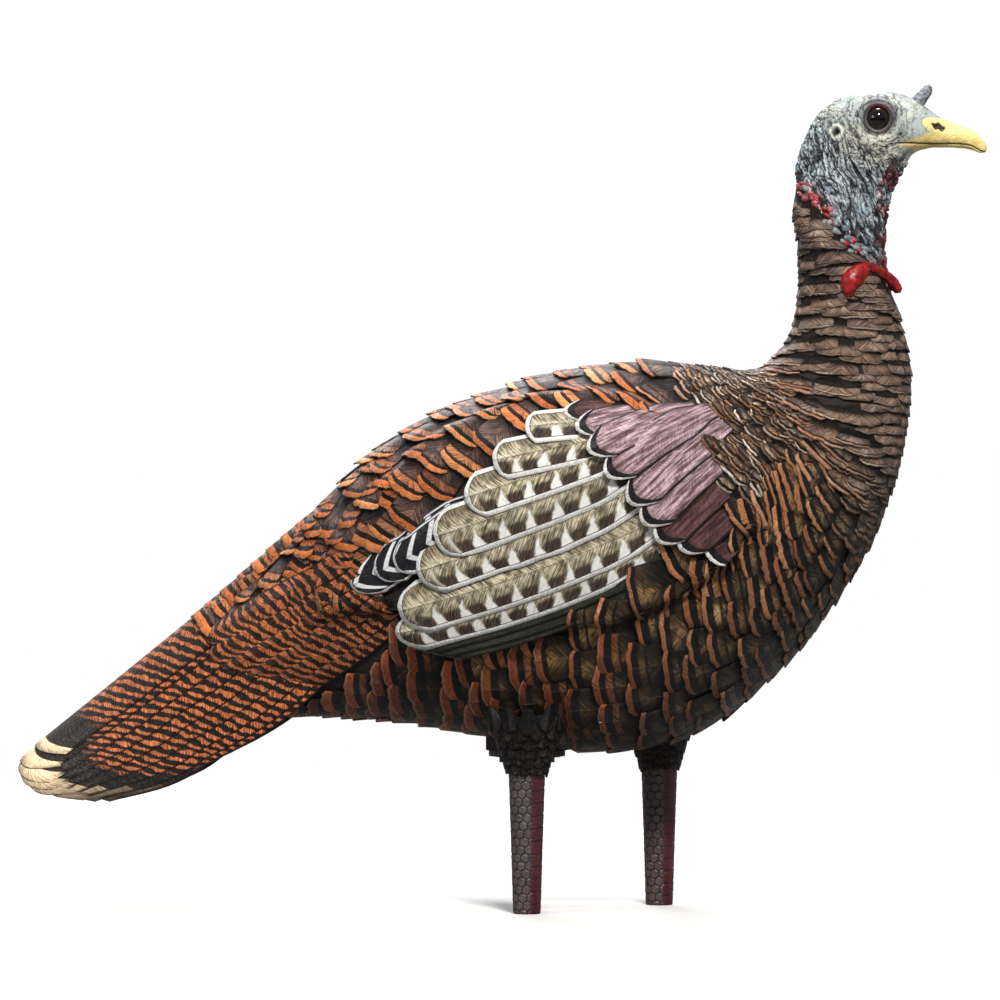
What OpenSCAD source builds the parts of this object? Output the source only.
// Hen turkey decoy on a two-piece motion stake.
// +X is the way the bird faces, +Y is its left, +Z is up.
// The origin is on the stake's axis at ground level, level with the soles of the legs.
// In names, _r is a radius, _h a height, _w a width and _x, _y, _z a place along that axis.

/* [Moulded shell] */
// Wall thickness of the hollow body moulding
wall = 3; // [2.5:0.25:3.5]
// Gap between the wings' inner faces and the body
panel_gap = 1.2; // [1:0.1:2]
// Thickness of a wing panel
wing_thickness = 6.5; // [5:0.5:8]

/* [Legs] */
// Height of a leg stub from sole to thigh
leg_h = 98; // [92:1:100]
// Radius of a leg at the thigh
leg_top_r = 12.4; // [11.5:0.1:13]
// Radius of a leg at the sole
leg_sole_r = 9.2; // [8.5:0.1:10]
// Radius of the spigot that plugs into the thigh
spigot_r = 7; // [6:0.5:8]
// Length of that spigot
spigot_h = 22; // [16:1:24]

/* [Stake] */
// Radius of both stake rods
rod_r = 4.75; // [4.5:0.05:5]
// Height of the upper rod's tip above the ground
rod_top = 318; // [300:1:322]
// Depth of the spike's point below the ground
spike_depth = 230; // [180:5:300]
// Running clearance of rod in tube and tube in bushing
running_gap = 0.05; // [0.03:0.01:0.09]
// Height of the coupler's top above the ground
coupler_h = 50; // [46:1:60]
// Engagement of the upper rod in the coupler
plug_depth = 26; // [18:1:26]
// Length of the foot step
step_length = 52; // [40:2:70]

/* [Swivel] */
// Outer radius of the nylon swivel tube
tube_r = 7; // [6.5:0.1:7.5]
// Travel of the decoy each way about the stake, in degrees
swivel_deg = 40; // [20:5:45]
// Height of the tube's flange above the ground
flange_z = 100; // [98:0.5:101]

/* [Hidden] */
$fn = 48;
over = 1;          // how far a cutter starts outside what it cuts
sides = [-1, 1];   // the bird's right and left

wing_colour = "#a98f7d";
screw_colour = "#8d8f92";
bushing_colour = "#33302d";
bright_colour = "#b9bcc0";
stake_colour = "#2b2d30";

// ---- section tables ----
// Every row is one cross-section of the bird, in a plane that holds the Y axis:
// [x, z of the back, x, z of the underside, half width, fullness, how far the widest line is raised]
BODY = [
    [-141.1, 273.5, -143.9, 131.5,  58, 2.2,  0.10],
    [-107.0, 307.5, -110.0, 130.5,  74, 2.2,  0.12],
    [ -66.0, 334.5,  -69.0, 126.5,  86, 2.2,  0.12],
    [ -19.1, 352.5,  -24.9, 117.5,  94, 2.2,  0.10],
    [  28.9, 365.5,   23.1, 110.5,  99, 2.2,  0.08],
    [  77.0, 371.5,   76.0, 110.5, 101, 2.2,  0.04],
    [ 117.1, 369.5,  129.9, 129.5,  98, 2.2,  0.00],
    [ 148.4, 365.5,  177.6, 170.5,  90, 2.2, -0.04],
    [ 161.7, 369.6,  210.3, 212.4,  78, 2.1, -0.08],
    [ 173.2, 380.8,  237.8, 260.2,  62, 2.0, -0.10],
    [ 179.6, 392.1,  253.4, 306.9,  48, 2.0, -0.08],
    [ 183.1, 406.6,  259.9, 353.4,  38, 2.0,  0.00],
    [ 185.1, 426.6,  257.9, 379.4,  32, 2.0,  0.00],
    [ 184.0, 450.5,  253.0, 397.5,  29, 2.0,  0.00],
    [ 182.8, 472.3,  249.2, 409.7,  27, 2.0,  0.00],
    [ 183.6, 492.1,  246.4, 418.9,  25, 2.0,  0.00]];
body_end = len(BODY) - 1;
seam = BODY[body_end];   // section where neck and head meet

HEAD = [
    seam,
    [183, 502,   244, 436,   24,   2.0, 0.00],
    [185, 511,   243, 455,   21,   2.0, 0.00],
    [187, 518,   245, 472,   19,   2.0, 0.05],
    [190, 525,   248, 486,   18,   2.1, 0.10],
    [194, 534,   254, 499,   18.5, 2.2, 0.15],
    [202, 544,   258, 507,   20,   2.2, 0.15],
    [216, 552,   261, 512,   21,   2.2, 0.15],
    [233, 555,   266, 515,   21,   2.2, 0.15],
    [250, 554,   270, 516,   18,   2.1, 0.10],
    [262, 550,   275, 517,   13.5, 2.0, 0.00],
    [271, 544,   279, 517,   10.5, 2.0, 0.00],
    [281, 537,   286, 517,   8.5,  2.0, 0.00],
    [294, 532,   295, 516.5, 6.6,  2.0, 0.00],
    [304, 528,   304, 515.5, 4.6,  2.0, 0.00],
    [311, 522.5, 310, 515.5, 2.0,  2.0, 0.00]];

// The rump's rows run rearward from the body's rear rim
RUMP = [
    BODY[0],
    [-158.1, 254.5, -163.9, 132.5, 51, 2.1, 0.10],
    [-178.2, 232.5, -185.8, 134.5, 41, 2.0, 0.10],
    [-197.3, 209.5, -205.7, 138.5, 29, 2.0, 0.10],
    [-208.3, 189.5, -213.7, 150.5, 15, 2.0, 0.10]];

// Tail: [distance from its root, half width, drop of its edges, thickness]
TAIL = [
    [-12, 26, 30, 20], [ 10, 34, 48, 22], [ 45, 41, 66, 20], [ 90, 47, 78, 17],
    [140, 50, 76, 15], [185, 51, 66, 13], [225, 48, 50, 11], [255, 43, 34, 10],
    [278, 33, 20,  9], [293, 15,  8,  8]];

// Thigh profile: [radius, height above the leg's top]
THIGH = [[0, 0], [12.8, 0], [21, 22], [25, 34], [0, 34]];

// ---- surfaces ----
// Catmull-Rom curve from b to c
function spline(a, b, c, d, t) =
    0.5 * (2*b + (c - a)*t + (2*a - 5*b + 4*c - d)*t*t + (3*b - a - 3*c + d)*t*t*t);

// One row of a table at a fractional row number
function row(table, u) =
    let (last = len(table) - 1, i = max(0, min(floor(u), last - 1)))
    [for (k = [0 : len(table[0]) - 1])
        spline(table[max(i - 1, 0)][k], table[i][k], table[i + 1][k],
               table[min(i + 2, last)][k], u - i)];

function signed_pow(v, p) = sign(v) * pow(abs(v), p);

// A point of the skin: angle is 0 on the back, 90 on the bird's right and 180 underneath
function skin(table, u, angle) =
    let (s = row(table, u),
         up = signed_pow(cos(angle), 2/s[5]),
         across = signed_pow(sin(angle), 2/s[5]),
         raised = up + s[6]*across*across)
    [(s[0] + s[2])/2 + (s[0] - s[2])/2*raised,
     -s[4]*across,
     (s[1] + s[3])/2 + (s[1] - s[3])/2*raised];

// Unit normal of the skin: outward for BODY and HEAD, inward for RUMP's rearward rows
function normal(table, u, angle) =
    let (last = len(table) - 1,
         along = skin(table, min(u + 0.05, last), angle) - skin(table, max(u - 0.05, 0), angle),
         around = skin(table, u, angle + 2) - skin(table, u, angle - 2),
         n = cross(around, along))
    n / norm(n);

// The skin moved along its normal
function lifted(table, u, angle, lift) =
    skin(table, u, angle) + lift * normal(table, u, angle);

// Rings of points from row u0 to u1
function rings(table, u0, u1, steps, around, lift) =
    [for (i = [0 : steps], j = [0 : around - 1])
        lifted(table, u0 + (u1 - u0)*i/steps, 360*j/around, lift)];

// Two triangles that share the edge a-c
function quad(a, b, c, d) = [[a, b, c], [a, c, d]];

// Joins rings of points into the faces of a tube
function tube_faces(steps, around, first = 0, flip = false) =
    [for (i = [0 : steps - 1], j = [0 : around - 1])
        let (a = first + i*around + j,
             b = first + i*around + (j + 1) % around,
             c = b + around,
             d = a + around)
        each flip ? quad(a, b, c, d) : quad(a, d, c, b)];

// A solid lofted through the table from row u0 to u1, moved by inset against the normal
module solid_loft(table, u0, u1, steps, around, inset = 0) {
    points = rings(table, u0, u1, steps, around, -inset);
    caps = [for (u = [u0, u1]) skin(table, u, 0)/2 + skin(table, u, 180)/2];
    count = len(points);
    end = steps*around;
    polyhedron(points = concat(points, caps), convexity = 10,
        faces = concat(tube_faces(steps, around),
            [for (j = [0 : around - 1]) [count, j, (j + 1) % around]],
            [for (j = [0 : around - 1]) [count + 1, end + (j + 1) % around, end + j]]));
}

// A hollow loft, open at both ends
module shell_loft(table, u0, u1, steps, around, thickness) {
    outer = rings(table, u0, u1, steps, around, 0);
    inner = rings(table, u0, u1, steps, around, -thickness);
    m = len(outer);
    end = steps*around;
    polyhedron(points = concat(outer, inner), convexity = 10,
        faces = concat(tube_faces(steps, around), tube_faces(steps, around, m, true),
            [for (j = [0 : around - 1]) let (k = (j + 1) % around)
                each concat(quad(j, k, m + k, m + j),
                            quad(end + j, m + end + j, m + end + k, end + k))]));
}

// A solid between two grids of points that have the same number of columns
module slab(top, bottom, columns) {
    m = len(top);
    c = columns;
    last_row = m - c;
    polyhedron(points = concat(top, bottom), convexity = 10, faces = concat(
        // Top and bottom
        [for (r = [0 : c : last_row - c], j = [0 : c - 2]) let (a = r + j, b = m + a)
            each concat(quad(a, a + c, a + c + 1, a + 1), quad(b, b + 1, b + c + 1, b + c))],
        // Edges at the first and the last column
        [for (a = [0 : c : last_row - c]) let (b = a + c - 1)
            each concat(quad(a, m + a, m + a + c, a + c), quad(b, b + c, m + b + c, m + b))],
        // Ends at the first and the last row
        [for (a = [0 : c - 2]) let (b = last_row + a)
            each concat(quad(a, a + 1, m + a + 1, m + a), quad(b, m + b, m + b + 1, b + 1))]));
}

// A disc with a bore
module washer(outer_r, bore_r, thickness) difference() {
    cylinder(r = outer_r, h = thickness);
    translate([0, 0, -over]) cylinder(r = bore_r, h = 4);
}

// ---- shared places and fits ----
function on_side(at, side) = [at[0], side*at[1], at[2]];

leg_y = 45;
right_leg_at = [3, -leg_y, 0];
left_leg_at = [88, leg_y, 0];
legs_at = [right_leg_at, left_leg_at];

head_r = 4.2;          // heads of the leg and tail screws
head_hole_r = 4.6;
shank_hole_r = 2.3;
plug_fit = 1.2;        // gap round the plugs in the shell's two openings

// Swivel stack, from the tube's flange up to the belly boss
flange_h = 3;
washer_z = flange_z + flange_h + 0.05;
washer_h = 1.05;
bush_z = washer_z + washer_h + 0.1;   // underside of the bushing's flange
bush_flange_h = 4;
bush_r = 11;
boss_z = bush_z + bush_flange_h + 0.1;
ring_z = 151;                         // middle of the retaining ring
tube_foot = 93;
tube_top = rod_top + 4;
pin_z = 95;
lug_at_r = 17;                        // distance of the tube's lug from the axis
lug_w = 3;                            // its diameter
rod_foot = coupler_h - plug_depth;

// Places the children, facing up, at the bushing's screws
module at_bushing_screws(z) {
    circle_r = 22;
    for (a = [150, 270, 30]) translate([circle_r*cos(a), circle_r*sin(a), z]) children();
}

// Places the children at the tail's screws, facing the middle of the bird
tail_seat_y = 62;   // how far from the middle the heads seat
module at_tail_screws(y) for (side = sides)
    translate([-130, side*y, 240]) rotate([90*side, 0, 0]) children();

// Places the children at the wing studs, facing away from the middle of the bird
studs = [[8, 268], [92, 272]];   // [x, z]
stud_r = 2.9;
module at_studs(y, on = sides) for (stud = studs, side = on)
    translate([stud[0], side*y, stud[1]]) rotate([-90*side, 0, 0]) children();

// ---- body and head ----
// The flared stub of a thigh, which takes the leg's spigot
module thigh(at) translate(at + [0, 0, leg_h]) rotate_extrude() polygon(THIGH);
module thigh_bore(at) {
    translate(at + [0, 0, leg_h - over]) cylinder(r = spigot_r + 0.15, h = spigot_h + 2.5);
    translate(at + [0, 0, leg_h]) cylinder(r = 2.15, h = 60);
}

module body_shell() color("#6b4a2f") difference() {
    union() {
        shell_loft(BODY, 0, body_end, 34, 36, wall);
        for (at = legs_at) thigh(at);
        // Boss round the stake's entry
        translate([0, 0, boss_z]) cylinder(r = 28, h = 16);
    }
    for (at = legs_at) thigh_bore(at);
    translate([0, 0, boss_z - over]) cylinder(r = bush_r + 0.2, h = 40);
    at_bushing_screws(boss_z - over) cylinder(r = 1.25, h = 12);
    at_studs(60) cylinder(r = stud_r + 0.3, h = 60);
    at_tail_screws(80) {
        cylinder(r = shank_hole_r, h = 30);
        cylinder(r = head_hole_r, h = 80 - tail_seat_y - 0.3);
    }
    // The neck's rim is cut square to the seam with the head
    translate([(seam[0] + seam[2])/2, 0, (seam[1] + seam[3])/2])
        rotate([0, atan2(seam[1] - seam[3], seam[2] - seam[0]), 0])
            translate([-70, -60, -0.05]) cube([140, 120, 40]);
    // Seats that the wattles lie in
    for (side = sides) wattle(side, 0.4);
}

// One wattle lobe, its radii made larger by grow
module wattle(side, grow = 0) hull() {
    translate(on_side([222, 23, 432], side)) sphere(r = 6.5 + grow, $fn = 20);
    translate(on_side([221, 24, 423], side)) sphere(r = 4 + grow, $fn = 20);
}

module snood() hull() {
    translate([264.5, 0, 545]) sphere(r = 5, $fn = 24);
    translate([271, 0, 555]) sphere(r = 2.2, $fn = 20);
}

module eyeball(side, gap = 0)
    translate(on_side([238.5, 13.5, 536.5], side)) sphere(r = 8.2 + gap);

module head() color("#aeb4b4") difference() {
    union() {
        solid_loft(HEAD, 0, len(HEAD) - 1, 34, 28);
        // Plug that goes down inside the neck
        solid_loft(BODY, 12.6, body_end, 6, 28, wall + plug_fit);
        snood();
        for (side = sides) wattle(side);
    }
    for (side = sides) eyeball(side, 0.1);
}

module right_eye() color("#120d0b") eyeball(-1);
module left_eye() color("#120d0b") eyeball(1);

// ---- wings ----
// Wing panel of the bird's right side, laid over the body from rear to front
module wing_half() {
    steps = 16;
    across = 9;
    // Edges in degrees round the body, where t goes from 0 at the rear to 1 at the front
    function upper(t) = 88 - 28.6*sin(180*pow(t, 0.8)) - 22*min(2*t, 1);
    function lower(t) = 100 + 12*sin(180*t) - 10*pow(t, 4);
    function layer(lift) = [for (i = [0 : steps], j = [0 : across])
        let (t = i/steps)
        lifted(BODY, 0.55 + 6.15*t, upper(t) + (lower(t) - upper(t))*j/across, lift)];
    union() {
        slab(layer(panel_gap + wing_thickness), layer(panel_gap), across + 1);
        at_studs(76, [-1]) cylinder(r = stud_r, h = 26);
    }
}
module right_wing() color(wing_colour) wing_half();
module left_wing() color(wing_colour) mirror([0, 1, 0]) wing_half();

// Star-lock washers on the wings' studs, inside the shell
module wing_push_nuts() color(screw_colour) at_studs(84) difference() {
    cylinder(r = 6, h = 1, center = true);
    cylinder(r = stud_r + 0.05, h = 3, center = true);
}

// ---- tail ----
// The folded tail: an arched slab that narrows to a rounded end
module tail_slab() {
    steps = 24;
    half = 10;   // columns each side of the middle
    root = [-118, 0, 280];
    slope = 39.3;
    along = [-cos(slope), 0, -sin(slope)];
    down = [sin(slope), 0, -cos(slope)];
    // v goes from -1 to 1 across the tail; the underside thins towards the edges
    function place(s, v, under) =
        let (depth = under ? s[3]*(1 - 0.55*v*v) : 0)
        root + s[0]*along + (s[2]*v*v + depth)*down + [0, s[1]*v*(1 - 0.12*v*v), 0];
    function layer(under) = [for (i = [0 : steps], j = [-half : half])
        place(row(TAIL, (len(TAIL) - 1)*i/steps), j/half, under)];
    slab(layer(false), layer(true), 2*half + 1);
}

module tail_fan() color("#8a5636") difference() {
    union() {
        // The tail begins behind the shell's rear rim
        difference() {
            tail_slab();
            translate([-144.3, -100, 0]) cube([200, 200, 400]);
        }
        // The rump, with a hollow plug that goes inside the shell's rear opening
        difference() {
            union() {
                solid_loft(RUMP, 4, 0, 10, 28);
                solid_loft(BODY, 0, 0.7, 3, 28, wall + plug_fit);
            }
            // RUMP's normals point inward, so this cut is larger than the rump
            // and leaves only its rear end
            solid_loft(RUMP, 3.2, -0.02, 8, 28, wall + 1);
            solid_loft(BODY, -0.02, 0.8, 4, 28, 2*wall + 2);
        }
    }
    at_tail_screws(66) cylinder(r = 1.85, h = 26);
}

// The tail's two screws go in level, through the shell's sides
module tail_screws() color(screw_colour) at_tail_screws(tail_seat_y + 0.4) {
    translate([0, 0, -2]) cylinder(r = head_r, h = 2);
    cylinder(r = 1.75, h = 24);
}

// ---- legs ----
module leg(at) color("#3a2226") translate(at) difference() {
    union() {
        cylinder(r1 = leg_sole_r, r2 = leg_top_r, h = leg_h - 0.3);
        translate([0, 0, leg_h - 2]) cylinder(r = spigot_r, h = spigot_h + 2);
    }
    translate([0, 0, -over]) cylinder(r = shank_hole_r, h = leg_h + spigot_h + 4);
    translate([0, 0, -over]) cylinder(r = head_hole_r, h = 13);
}
module right_leg() leg(right_leg_at);
module left_leg() leg(left_leg_at);

// Screws that go up through the legs, with a hexagonal recess in the head
module leg_screws() color(screw_colour) for (at = legs_at) translate(at) difference() {
    union() {
        translate([0, 0, 8.6]) cylinder(r = head_r, h = 3.2);
        translate([0, 0, 11]) cylinder(r = 2, h = 124);
    }
    translate([0, 0, 8]) cylinder(r = 1.6, h = 2.4, $fn = 6);
}

// ---- swivel ----
module belly_bushing() color(bushing_colour) difference() {
    slot_gap = 0.3;
    slot_half_deg = swivel_deg + asin(lug_w/2/lug_at_r) + 1;
    union() {
        translate([0, 0, bush_z]) cylinder(r = 26, h = bush_flange_h);
        translate([0, 0, bush_z]) cylinder(r = bush_r, h = ring_z - 1 - bush_z);
    }
    translate([0, 0, bush_z - over]) cylinder(r = tube_r + running_gap, h = 60);
    // Arc slot that the tube's lug travels in
    translate([0, 0, bush_z - over]) rotate([0, 0, 180 - slot_half_deg])
        rotate_extrude(angle = 2*slot_half_deg)
            translate([lug_at_r - lug_w/2 - slot_gap, 0])
                square([lug_w + 2*slot_gap, bush_flange_h - 0.2]);
    at_bushing_screws(bush_z - over) cylinder(r = 1.6, h = 8);
}

module bushing_screws() color(screw_colour) at_bushing_screws(bush_z) {
    translate([0, 0, -1.6]) cylinder(r = 2.6, h = 1.55);
    translate([0, 0, -1]) cylinder(r = 1.2, h = 12);
}

// Cup bonded under the back, which steadies the tube's upper end
module top_cup() color(bushing_colour) difference() {
    cup_z = 300;
    cup_r = 11;
    union() {
        translate([0, 0, cup_z]) cylinder(r = cup_r, h = 40);
        translate([0, 0, cup_z + 36]) cylinder(r1 = cup_r, r2 = 15, h = 12);
    }
    translate([0, 0, cup_z - over])
        cylinder(r = tube_r + running_gap, h = tube_top - cup_z + over + 3);
}

module thrust_washer() color(bright_colour)
    translate([0, 0, washer_z]) washer(14, tube_r + 0.1, washer_h);

module swivel_tube() color("#3a3734") difference() {
    notch_w = 3.2;
    notch_top = 96.54;
    union() {
        translate([0, 0, tube_foot]) cylinder(r = tube_r, h = tube_top - tube_foot);
        translate([0, 0, flange_z]) cylinder(r = 18.8, h = flange_h);
        // Lug that stops the swivel at either end of the bushing's slot
        translate([-lug_at_r, 0, flange_z + 1]) cylinder(r = lug_w/2, h = 5.4);
    }
    translate([0, 0, 80]) cylinder(r = rod_r + running_gap, h = 300);
    // Notch that drops over the stop pin
    translate([-notch_w/2, -20, tube_foot - over])
        cube([notch_w, 40, notch_top - tube_foot + over]);
    // Groove for the retaining ring
    translate([0, 0, ring_z - 0.7]) washer(tube_r + 2, tube_r - 0.8, 1.4);
}

module retaining_ring() color("#9a9da1") translate([0, 0, ring_z - 0.6]) difference() {
    washer(10.5, tube_r - 0.75, 1.2);
    // Opening on the bird's left
    translate([-2, 0, -over]) cube([4, 20, 4]);
}

// ---- stake ----
stub_r = 3.5;     // spigot on the spike's upper end
step_z = 9;       // height of the foot step's axis
step_r = 4;

module upper_rod() color(stake_colour) difference() {
    bevel = 2;
    union() {
        translate([0, 0, rod_foot]) cylinder(r = rod_r, h = rod_top - rod_foot - bevel);
        translate([0, 0, rod_top - bevel]) cylinder(r1 = rod_r, r2 = rod_r - bevel, h = bevel);
    }
    translate([0, 0, pin_z]) rotate([90, 0, 0]) cylinder(r = 1.5, h = 40, center = true);
}

module stop_pin() color(bright_colour) translate([0, 0, pin_z]) rotate([90, 0, 0])
    cylinder(r = 1.49, h = 18, center = true);

module rod_coupler() color(stake_colour) difference() {
    foot_z = 0.3;
    translate([0, 0, foot_z]) cylinder(r = 7.5, h = coupler_h - foot_z);
    translate([0, 0, rod_foot - 0.5]) cylinder(r = rod_r + running_gap, h = plug_depth + 10);
    // Bore that the spike's spigot is welded into
    translate([0, 0, -over]) cylinder(r = stub_r + 0.05, h = coupler_h);
    translate([0, 0, step_z]) rotate([-90, 0, 0]) cylinder(r = step_r + 0.02, h = 30);
}

module ground_spike() color(stake_colour) {
    point_h = 22;
    translate([0, 0, point_h - spike_depth]) cylinder(r = rod_r, h = spike_depth - point_h);
    translate([0, 0, -1]) cylinder(r = stub_r, h = rod_foot);
    translate([0, 0, -spike_depth]) cylinder(r1 = 0.6, r2 = rod_r, h = point_h);
}

// Peg that stands out of the coupler to the bird's left
module foot_step() color(stake_colour) {
    end = step_length + 1.5;
    translate([0, rod_r + 0.6, step_z]) rotate([-90, 0, 0]) rotate_extrude()
        polygon([[0, 0], [step_r, 0], [step_r, step_length], [step_r - 1, end], [0, end]]);
}

body_shell();
head();
right_eye();
left_eye();
right_wing();
left_wing();
tail_fan();
tail_screws();
wing_push_nuts();
right_leg();
left_leg();
leg_screws();
belly_bushing();
bushing_screws();
top_cup();
thrust_washer();
swivel_tube();
retaining_ring();
upper_rod();
stop_pin();
rod_coupler();
ground_spike();
foot_step();
